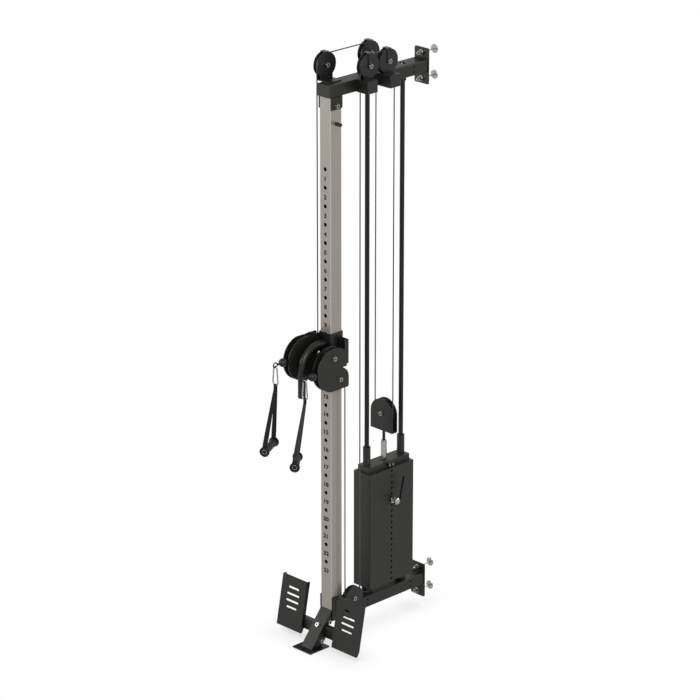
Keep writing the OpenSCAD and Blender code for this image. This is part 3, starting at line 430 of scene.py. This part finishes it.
def seen_directly(tree):
    """1 for rays from the camera, from a mirror or through glass, and 0 for the light itself."""
    camera_ray = add_node(tree, "LightPath", output=0)
    mirror_ray = add_node(tree, "LightPath", output=3)
    glass_ray = add_node(tree, "LightPath", output=6)
    return calculate(tree, "MAXIMUM", calculate(tree, "MAXIMUM", camera_ray, mirror_ray), glass_ray)


def set_world():
    world = bpy.data.worlds.new("studio")
    bpy.context.scene.world = world
    world.use_nodes = True
    tree = world.node_tree
    background = tree.nodes["Background"]
    background.inputs["Color"].default_value = (*WHITE, 1.0)
    plug(tree, background.inputs["Strength"], WORLD_LEVEL + seen_directly(tree) * (1.0 - WORLD_LEVEL))
    return world


def floor_material():
    """White that glows for the camera, greyer where the machine stands near."""
    made, tree, shader = new_material("floor_white")
    shader.inputs["Base Color"].default_value = (*FLOOR_BASE, 1.0)
    shader.inputs["Roughness"].default_value = FLOOR_ROUGH
    shade = add_node(
        tree, "AmbientOcclusion", {"samples": 8, "only_local": False}, output=1, Distance=SHADE_REACH)
    glow = tree.nodes.new("ShaderNodeEmission")
    glow.inputs["Strength"].default_value = 1.0
    plug(tree, glow.inputs["Color"], tint(tree, shade, SHADE_GREY, WHITE))
    mixed = tree.nodes.new("ShaderNodeMixShader")
    plug(tree, mixed.inputs[0], seen_directly(tree))
    tree.links.new(shader.outputs[0], mixed.inputs[1])
    tree.links.new(glow.outputs[0], mixed.inputs[2])
    tree.links.new(mixed.outputs[0], tree.nodes["Material Output"].inputs["Surface"])
    return made


def add_floor():
    bpy.ops.object.select_all(action="DESELECT")
    bpy.ops.mesh.primitive_plane_add(size=FLOOR_SIDE, location=(0.0, 0.0, -FLOOR_DROP))
    floor = bpy.context.object
    floor.name = "studio_floor"
    dress(floor, floor_material())
    return floor


bpy.context.scene.view_settings.view_transform = "Standard"
set_world()
add_floor()
for lamp_facts in LAMPS:
    add_lamp(*lamp_facts)
print("room and", len(LAMPS), "lamps")

# %% [markdown]
# Each new piece ends the same way: its place is applied to its mesh, because the pattern of its
# material reads the object's own coordinates, and then it gets its finish and its body. Sharp
# edges catch no light, so most pieces have them rounded by a small bevel first.

# %% Finishing a piece
MERGE_REACH = 0.00001


def deselect():
    if bpy.context.object and bpy.context.object.mode != "OBJECT":
        bpy.ops.object.mode_set(mode="OBJECT")
    bpy.ops.object.select_all(action="DESELECT")


def activate(piece):
    deselect()
    piece.select_set(True)
    bpy.context.view_layer.objects.active = piece


def settle(piece, name, material, body=None):
    """Apply the piece's place, name it, dress it and hang it on a body."""
    activate(piece)
    bpy.ops.object.transform_apply(location=True, rotation=True, scale=True)
    piece.name = name
    dress(piece, material)
    if body:
        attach(piece, body)
    return piece


def join_as(pieces, name, material, body):
    """Make one piece of several, each with its place applied."""
    for piece in pieces:
        activate(piece)
        bpy.ops.object.transform_apply(location=True, rotation=True, scale=True)
    deselect()
    for piece in pieces:
        piece.select_set(True)
    bpy.context.view_layer.objects.active = pieces[0]
    bpy.ops.object.join()
    return settle(bpy.context.object, name, material, body)


def soften(piece, width, segments, smooth):
    """Round the sharp edges by a bevel, and smooth across edges flatter than smooth degrees."""
    activate(piece)
    edges = piece.modifiers.new("edges", "BEVEL")
    edges.width = width
    edges.segments = segments
    edges.limit_method = "ANGLE"
    bpy.ops.object.modifier_apply(modifier="edges")
    bpy.ops.object.shade_smooth_by_angle(angle=math.radians(smooth))


def close_spin(piece, smooth):
    """After a spin: merge doubles, turn faces outwards and smooth all but sharp edges."""
    activate(piece)
    bpy.ops.object.mode_set(mode="EDIT")
    bpy.ops.mesh.select_all(action="SELECT")
    bpy.ops.mesh.remove_doubles(threshold=MERGE_REACH)
    bpy.ops.mesh.normals_make_consistent(inside=False)
    bpy.ops.object.mode_set(mode="OBJECT")
    bpy.ops.object.shade_smooth_by_angle(angle=math.radians(smooth))


# %% [markdown]
# Each long cable run is a straight cylinder cut into rings, between two points. Where a run
# starts and ends isn't typed: the cable leaves each pulley one radius in front of its axle or
# behind it, and the pulleys are in the imported model.

# %% Long cable runs
CABLE_R = 0.0025
CABLE_SIDES = 20
PULLEY_R = 0.0416
LONG_RINGS = 24
ROUND_SMOOTH = 50.0


def middle_of(node):
    low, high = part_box(node)
    return (Vector(low) + Vector(high)) / 2


def beside(pulley, way):
    """Where the cable leaves a pulley: one radius in front of its axle (-1) or behind it (1)."""
    return middle_of(pulley) + Vector((0.0, way * PULLEY_R, 0.0))


def cable_run(name, start, end, rings):
    """Straight cable between two points, with rings so that it can stretch."""
    span = end - start
    deselect()
    bpy.ops.mesh.primitive_cylinder_add(
        vertices=CABLE_SIDES, radius=CABLE_R, depth=span.length, location=(start + end) / 2,
        rotation=span.to_track_quat("Z", "Y").to_euler())
    run = bpy.context.object
    bpy.ops.object.mode_set(mode="EDIT")
    bpy.ops.mesh.select_mode(type="EDGE")
    bpy.ops.mesh.select_all(action="DESELECT")
    mesh = bmesh.from_edit_mesh(run.data)
    for edge in mesh.edges:
        edge.select = abs(edge.verts[0].co.z - edge.verts[1].co.z) > span.length / 2
    bmesh.update_edit_mesh(run.data)
    bpy.ops.mesh.subdivide(number_cuts=rings)
    bpy.ops.object.mode_set(mode="OBJECT")
    bpy.ops.object.shade_smooth_by_angle(angle=math.radians(ROUND_SMOOTH))
    return settle(run, name, CABLE)


def long_run(name, fixed, moving):
    """Straight cable between the two points, its place baked into its mesh."""
    run = cable_run(name, moving, fixed, LONG_RINGS)
    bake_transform(run)
    return run


front_run = long_run(
    "cable_front_stretch", beside("pulley_front", -1), beside("pulley_left_high", 1))
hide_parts("cable_front_run")
rise_run = long_run(
    "cable_rise_stretch", beside("pulley_bottom", -1), beside("pulley_right_low", 1))
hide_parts("cable_rise_run")
lift_axle = middle_of("pulley_lift")
for side, pulley in (("left", "pulley_rear"), ("right", "pulley_return_rear")):
    top = beside(pulley, 1)
    low = Vector((top.x, lift_axle.y, lift_axle.z))
    lift_run = long_run("cable_lift_" + side, top, low)
    if side == "left":
        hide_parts("cable_lift_runs")
print("four long cable runs; the front one comes down at Y", round(beside("pulley_front", -1).y, 4))

# %% [markdown]
# On the trolley the cable turns forward round one pulley on each side and ends at a ball stop. A
# curve with a bevel would do for the turn, but spinning a small circle round the pulley's axle
# makes the same bend directly as a mesh. The short run out to each ball is another cylinder cut
# into rings.

# %% Cable on the trolley and out to the ball stops
BEND_STEPS = 20
SHORT_RINGS = 12
INTO_BALL = 0.0036


def cable_bend(name, pulley, sweep_from, sweep):
    """Cable round a pulley whose axle runs along X; angles start at +Y and turn towards +Z."""
    angle = math.radians(sweep_from)
    axle = middle_of(pulley)
    out = Vector((0.0, math.cos(angle), math.sin(angle)))
    deselect()
    bpy.ops.mesh.primitive_circle_add(
        vertices=CABLE_SIDES, radius=CABLE_R, fill_type="NGON", location=axle + out * PULLEY_R,
        rotation=(angle, 0.0, 0.0))
    bend = bpy.context.object
    bpy.ops.object.transform_apply(location=True, rotation=True, scale=True)
    bpy.ops.object.mode_set(mode="EDIT")
    bpy.ops.mesh.select_all(action="SELECT")
    bpy.ops.mesh.spin(steps=BEND_STEPS, angle=math.radians(sweep), center=axle, axis=(1.0, 0.0, 0.0))
    close_spin(bend, ROUND_SMOOTH)
    return settle(bend, name, CABLE, "trolley")


left_bend = cable_bend("cable_bend_left", "pulley_left_high", -90, 90)
cable_bend("cable_bend_right", "pulley_right_low", 0, 90)
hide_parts("cable_trolley")
for side, pulley, way in (("left", "pulley_left_high", -1), ("right", "pulley_right_low", 1)):
    start = middle_of(pulley) + Vector((0.0, 0.0, way * PULLEY_R))
    ball_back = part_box("cable_end_" + side)[1].y
    end = Vector((start.x, ball_back - INTO_BALL, start.z))
    out_run = cable_run("cable_out_" + side, start, end, SHORT_RINGS)
    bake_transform(out_run)
    print(side, "cable runs out at Z", round(start.z, 4), "to its ball at Y", round(ball_back, 4))

# %% [markdown]
# The numbers beside the holes are printed ink. Text is added at its size, made bold by a small
# bevel, made a mesh, flattened, and joined into one piece that lies on the tube. A picture of
# the numbers would blur close up, and this needs none.

# %% Height numbers
HOLE_TOP = 2.0
HOLE_PITCH = 0.075
HOLE_COUNT = 23
NUMBER_SIZE = 0.0242
NUMBER_WEIGHT = 0.0011
NUMBER_STRETCH = 1.2
NUMBER_DROP = 0.0395
INK_FLATNESS = 0.2
INK_LIFT = 0.00005
UPRIGHT_FACE_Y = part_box("upright")[0].y
INK = painted("number_ink", (0.002, 0.002, 0.002), 0.6, gloss=0.15)


def number_piece(number):
    deselect()
    height = HOLE_TOP - (number - 1) * HOLE_PITCH - NUMBER_DROP
    bpy.ops.object.text_add(
        location=(0.0, UPRIGHT_FACE_Y - INK_LIFT, height), rotation=(math.pi / 2, 0.0, 0.0))
    text = bpy.context.object
    text.data.body = str(number)
    text.data.size = NUMBER_SIZE
    text.data.align_x = "CENTER"
    text.data.align_y = "CENTER"
    text.data.bevel_depth = NUMBER_WEIGHT
    bpy.ops.object.convert(target="MESH")
    number_mesh = bpy.context.object
    number_mesh.scale = (NUMBER_STRETCH, 1.0, INK_FLATNESS)
    return number_mesh


printed = [number_piece(k + 1) for k in range(HOLE_COUNT)]
numbers = join_as(printed, "height_numbers", INK, "frame")
print("numbers 1 to", HOLE_COUNT, "on", len(numbers.data.polygons), "faces")

# %% [markdown]
# Handle webbing is a flat woven band: it comes out of the grip's core, turns up behind the end
# cap, runs to the snap hook, gathers there and goes over the hook's lower bow. Its path is a few
# corners, found from the hook and from how far the grip hangs below it, and each corner is cut
# by a small curve, because cloth doesn't fold sharply under load.

# %% Path of the webbing
HOOK_WIRE = 0.006
GRIP_DROP = 0.328
GRIP_LENGTH = 0.118
WEB_THICK = 0.0022
WEB_TUCK = 0.012
WEB_CLEAR = 0.0004
WEB_RISE = 0.022
WEB_FOLD = 0.004
WEB_STEP = 0.006
BOW_BELOW = 0.014
BOW_BESIDE = 0.0058
BOW_OVER = 0.0046
CAP_THICK = 0.005
CORNER_STEPS = 5
CORNER_SHARE = 0.45
HANDLES = (("left", 0.036, math.radians(117.5)), ("right", 0.049, math.radians(130.5)))
UP = Vector((0.0, 0.0, 1.0))


def rounded_path(corners, radius):
    """Path through corners, each cut by a small curve."""
    path = [corners[0]]
    for before, corner, after in zip(corners, corners[1:], corners[2:]):
        back, ahead = before - corner, after - corner
        enter = corner + back.normalized() * min(radius, back.length * CORNER_SHARE)
        leave = corner + ahead.normalized() * min(radius, ahead.length * CORNER_SHARE)
        for k in range(CORNER_STEPS + 1):
            t = k / CORNER_STEPS
            path.append(enter * (1 - t) ** 2 + corner * 2 * t * (1 - t) + leave * t ** 2)
    path.append(corners[-1])
    return path


def resample(path, step):
    """Points at even steps along the path, its corners kept."""
    points = [path[0]]
    for start, end in zip(path, path[1:]):
        count = max(1, round((end - start).length / step))
        points += [start.lerp(end, (k + 1) / count) for k in range(count)]
    return points


def webbing_leg(bow, grip, along):
    """Corners of half the band, from the grip's core up behind its cap to the top of the bow."""
    end = GRIP_LENGTH / 2 - CAP_THICK - WEB_THICK / 2 - WEB_CLEAR
    return [
        grip + along * (end - WEB_TUCK),
        grip + along * end,
        grip + along * end + UP * WEB_RISE,
        bow + along * BOW_BESIDE - UP * BOW_BELOW,
        bow + along * BOW_BESIDE,
        bow + along * BOW_OVER + UP * BOW_OVER,
    ]


hangs = {}
for name, lean, turn in HANDLES:
    hook_low, hook_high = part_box("snap_hook_" + name)
    hook = middle_of("snap_hook_" + name)
    bow = Vector((hook.x, hook.y, hook_low.z + HOOK_WIRE / 2))
    grip = Vector((hook.x, hook.y - lean, hook_high.z - HOOK_WIRE / 2 - GRIP_DROP))
    along = Vector((math.cos(turn), math.sin(turn), 0.0))
    corners = webbing_leg(bow, grip, along) + webbing_leg(bow, grip, -along)[::-1]
    path = resample(rounded_path(corners, WEB_FOLD), WEB_STEP)
    hangs[name] = (path, bow, grip, turn)
    print(name, "webbing", round(sum((b - a).length for a, b in zip(path, path[1:])), 3), "m")

# %% [markdown]
# Woven nylon shows ribs across the band and finer threads along it. Both are wave textures on
# the band's own map, whose numbers are metres along and across the band, so that the weave
# follows every bend. Its gloss is low, or a white room would turn black cloth grey.

# %% Webbing cloth
RIB_SCALE = 170.0
WARP_SCALE = 260.0
RIB_SHARE = 0.6
THREAD_DARK = (0.002, 0.002, 0.002)
THREAD_LIGHT = (0.0065, 0.0065, 0.0064)
THREAD_ROUGH = 0.42
THREAD_SWING = 0.12
THREAD_GLOSS = 0.18
THREAD_BUMP = 0.0001


def webbing_material():
    made, tree, shader = new_material("woven_webbing")
    shader.inputs["Specular IOR Level"].default_value = THREAD_GLOSS
    place = add_node(tree, "TexCoord", output=2)
    ribs = add_node(
        tree, "TexWave", {"wave_type": "BANDS", "bands_direction": "Y"}, Vector=place, Scale=RIB_SCALE)
    warp = add_node(
        tree, "TexWave", {"wave_type": "BANDS", "bands_direction": "X"}, Vector=place, Scale=WARP_SCALE)
    weave = ribs * RIB_SHARE + warp * (1.0 - RIB_SHARE)
    plug(tree, shader.inputs["Base Color"], tint(tree, weave, THREAD_DARK, THREAD_LIGHT))
    plug(tree, shader.inputs["Roughness"], THREAD_ROUGH - weave * THREAD_SWING)
    set_bump(tree, shader, weave, THREAD_BUMP, 0.4)
    return made


WEBBING = webbing_material()
print("webbing finish", WEBBING.name)

# %% [markdown]
# The band itself is a grid whose rows are laid along the path. It narrows towards the hook,
# where the real webbing is gathered, gets its thickness from Solidify, and has its edges
# softened. Cloth could be simulated, but a loaded strap hangs straight and needs no folds.

# %% Webbing bands
WEB_WIDTH = 0.0196
WEB_GATHERED = 0.0115
GATHER_REACH = 0.2
WEB_COLUMNS = 6
WEB_EDGE = 0.0006


def lay_rows(band, path, across, gather_at):
    """Put each row of the grid on its point of the path, and map the band in metres."""
    lengths = [0.0]
    for start, end in zip(path, path[1:]):
        lengths.append(lengths[-1] + (end - start).length)
    uv = band.data.uv_layers.active.data
    for loop in band.data.loops:
        row, column = divmod(loop.vertex_index, WEB_COLUMNS + 1)
        uv[loop.index].uv = (column / WEB_COLUMNS * WEB_WIDTH, lengths[row])
    for vertex in band.data.vertices:
        row, column = divmod(vertex.index, WEB_COLUMNS + 1)
        open_share = min(1.0, (path[row] - gather_at).length / GATHER_REACH)
        width = WEB_GATHERED + (WEB_WIDTH - WEB_GATHERED) * open_share
        vertex.co = path[row] + across * width * (column / WEB_COLUMNS - 0.5)


def webbing_band(name, path, across, gather_at):
    """Flat band along the path; its width narrows near the point where it is gathered."""
    deselect()
    bpy.ops.mesh.primitive_grid_add(x_subdivisions=WEB_COLUMNS, y_subdivisions=len(path) - 1, size=1.0)
    band = bpy.context.object
    lay_rows(band, path, across, gather_at)
    activate(band)
    thick = band.modifiers.new("thick", "SOLIDIFY")
    thick.thickness = WEB_THICK
    thick.offset = 0.0
    bpy.ops.object.modifier_apply(modifier="thick")
    soften(band, WEB_EDGE, 2, 45.0)
    return settle(band, name, WEBBING)


for name, (path, bow, grip, turn) in hangs.items():
    across = Vector((-math.sin(turn), math.cos(turn), 0.0))
    band = webbing_band("webbing_" + name, path, across, bow)
    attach(band, "handle_" + name)
    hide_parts("strap_" + name)
    print(name, "band of", len(band.data.polygons), "faces")

# %% [markdown]
# A grip is a foam sleeve that turns on its core between two plastic caps, and the webbing goes
# into the core behind each cap. A cap starts as a short cylinder: its outer face is inset and
# pushed in to leave a rim, and inset again for the dished middle. A thin steel ring lines the
# dish, a small circle spun once round the grip's own axis.

# %% Grips and their caps
GRIP_R = 0.015
GRIP_SIDES = 72
CAP_R = 0.0205
CAP_INSETS = ((0.0035, 0.0), (0.0012, -0.0012), (0.0085, 0.0), (0.0008, -0.0028))
CAP_EDGE = 0.0009
SLEEVE_EDGE = 0.0018
SLEEVE_ROOM = 0.0034
EDGE_SMOOTH = 40.0
RING_R = 0.0088
RING_WIRE = 0.0011
RING_DEPTH = 0.0008
RING_SIDES = 12
RING_STEPS = 64
CAP_PLASTIC = painted("cap_plastic", (0.002, 0.002, 0.002), 0.2, 0.00001, 1500.0, gloss=0.22)


def select_top_face(piece):
    """In edit mode, select the one flat end of the piece that looks along its own Z."""
    bpy.ops.mesh.select_mode(type="FACE")
    bpy.ops.mesh.select_all(action="DESELECT")
    mesh = bmesh.from_edit_mesh(piece.data)
    top = max(mesh.faces, key=lambda face: face.normal.z + face.calc_center_median().z)
    top.select = True
    bmesh.update_edit_mesh(piece.data)


def end_cap(name, body, centre, turn, way):
    deselect()
    bpy.ops.mesh.primitive_cylinder_add(
        vertices=GRIP_SIDES, radius=CAP_R, depth=CAP_THICK, location=centre,
        rotation=(0.0, way * math.pi / 2, turn))
    cap = bpy.context.object
    bpy.ops.object.mode_set(mode="EDIT")
    select_top_face(cap)
    for width, depth in CAP_INSETS:
        bpy.ops.mesh.inset(thickness=width, depth=depth)
    bpy.ops.object.mode_set(mode="OBJECT")
    soften(cap, CAP_EDGE, 3, EDGE_SMOOTH)
    return settle(cap, name, CAP_PLASTIC, body)


def cap_ring(name, body, cap_centre, outward):
    """Steel ring that lies in the dish of a cap, below its rim."""
    centre = cap_centre + outward * (CAP_THICK / 2 - RING_DEPTH - RING_WIRE)
    deselect()
    bpy.ops.mesh.primitive_circle_add(
        vertices=RING_SIDES, radius=RING_WIRE, fill_type="NOTHING", location=centre + UP * RING_R,
        rotation=outward.cross(UP).to_track_quat("Z", "Y").to_euler())
    ring = bpy.context.object
    bpy.ops.object.transform_apply(location=True, rotation=True, scale=True)
    bpy.ops.object.mode_set(mode="EDIT")
    bpy.ops.mesh.select_all(action="SELECT")
    bpy.ops.mesh.spin(steps=RING_STEPS, angle=2 * math.pi, center=centre, axis=outward)
    close_spin(ring, ROUND_SMOOTH)
    return settle(ring, name, STEM, body)


def foam_sleeve(name, body, centre, turn):
    deselect()
    bpy.ops.mesh.primitive_cylinder_add(
        vertices=GRIP_SIDES, radius=GRIP_R, depth=GRIP_LENGTH - 2 * (CAP_THICK + SLEEVE_ROOM),
        location=centre, rotation=(0.0, math.pi / 2, turn))
    sleeve = bpy.context.object
    soften(sleeve, SLEEVE_EDGE, 4, EDGE_SMOOTH)
    return settle(sleeve, name, FOAM, body)


for name, (path, bow, grip, turn) in hangs.items():
    sleeve = foam_sleeve("foam_" + name, "grip_" + name, grip, turn)
    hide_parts("grip_" + name)
    for way, word in ((1, "back"), (-1, "front")):
        outward = Vector((math.cos(turn), math.sin(turn), 0.0)) * way
        cap_centre = grip + outward * (GRIP_LENGTH - CAP_THICK) / 2
        end_cap(f"cap_{name}_{word}", "handle_" + name, cap_centre, turn, way)
        ring = cap_ring(f"cap_ring_{name}_{word}", "handle_" + name, cap_centre, outward)
    print(name, "grip at", [round(v, 3) for v in grip], "with rings of", len(ring.data.polygons), "faces")

# %% [markdown]
# Small bright fasteners give a machine its scale. One screw head is modelled, a short cylinder
# with a chamfered rim and a socket pushed into its face, and a pair of them holds the bracket on
# the head plate's edge.

# %% Socket screws
SCREW_R = 0.0045
SCREW_SIDES = 32
SCREW_HEIGHT = 0.004
SCREW_RIM = 0.0004
SOCKET_R = 0.0022
SOCKET_DEPTH = 0.002
SOCKET_TAPER = 0.00002
BRACKET_RISE = 0.0125
SCREW_SPREAD = 0.009


def socket_screw(seat, direction):
    """Screw head whose underside sits at seat and which looks along direction."""
    deselect()
    bpy.ops.mesh.primitive_cylinder_add(
        vertices=SCREW_SIDES, radius=SCREW_R, depth=SCREW_HEIGHT, location=(0.0, 0.0, SCREW_HEIGHT / 2))
    screw = bpy.context.object
    bpy.ops.object.transform_apply(location=True, rotation=True, scale=True)
    bpy.ops.object.mode_set(mode="EDIT")
    select_top_face(screw)
    bpy.ops.mesh.inset(thickness=SCREW_R - SOCKET_R, depth=0.0)
    bpy.ops.mesh.inset(thickness=SOCKET_TAPER, depth=-SOCKET_DEPTH)
    bpy.ops.object.mode_set(mode="OBJECT")
    soften(screw, SCREW_RIM, 2, EDGE_SMOOTH)
    screw.rotation_euler = direction.to_track_quat("Z", "Y").to_euler()
    screw.location = seat
    return screw


head_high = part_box("head_plate")[1]
bracket_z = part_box("plates_lifted")[1].z + BRACKET_RISE
bracket_screws = [
    socket_screw(Vector((head_high.x, lift_axle.y + shift, bracket_z)), Vector((1.0, 0.0, 0.0)))
    for shift in (-SCREW_SPREAD, SCREW_SPREAD)]
join_as(bracket_screws, "head_plate_screws", ZINC, "lifted_stack")
print("two screws on the head plate at Z", round(bracket_z, 4))
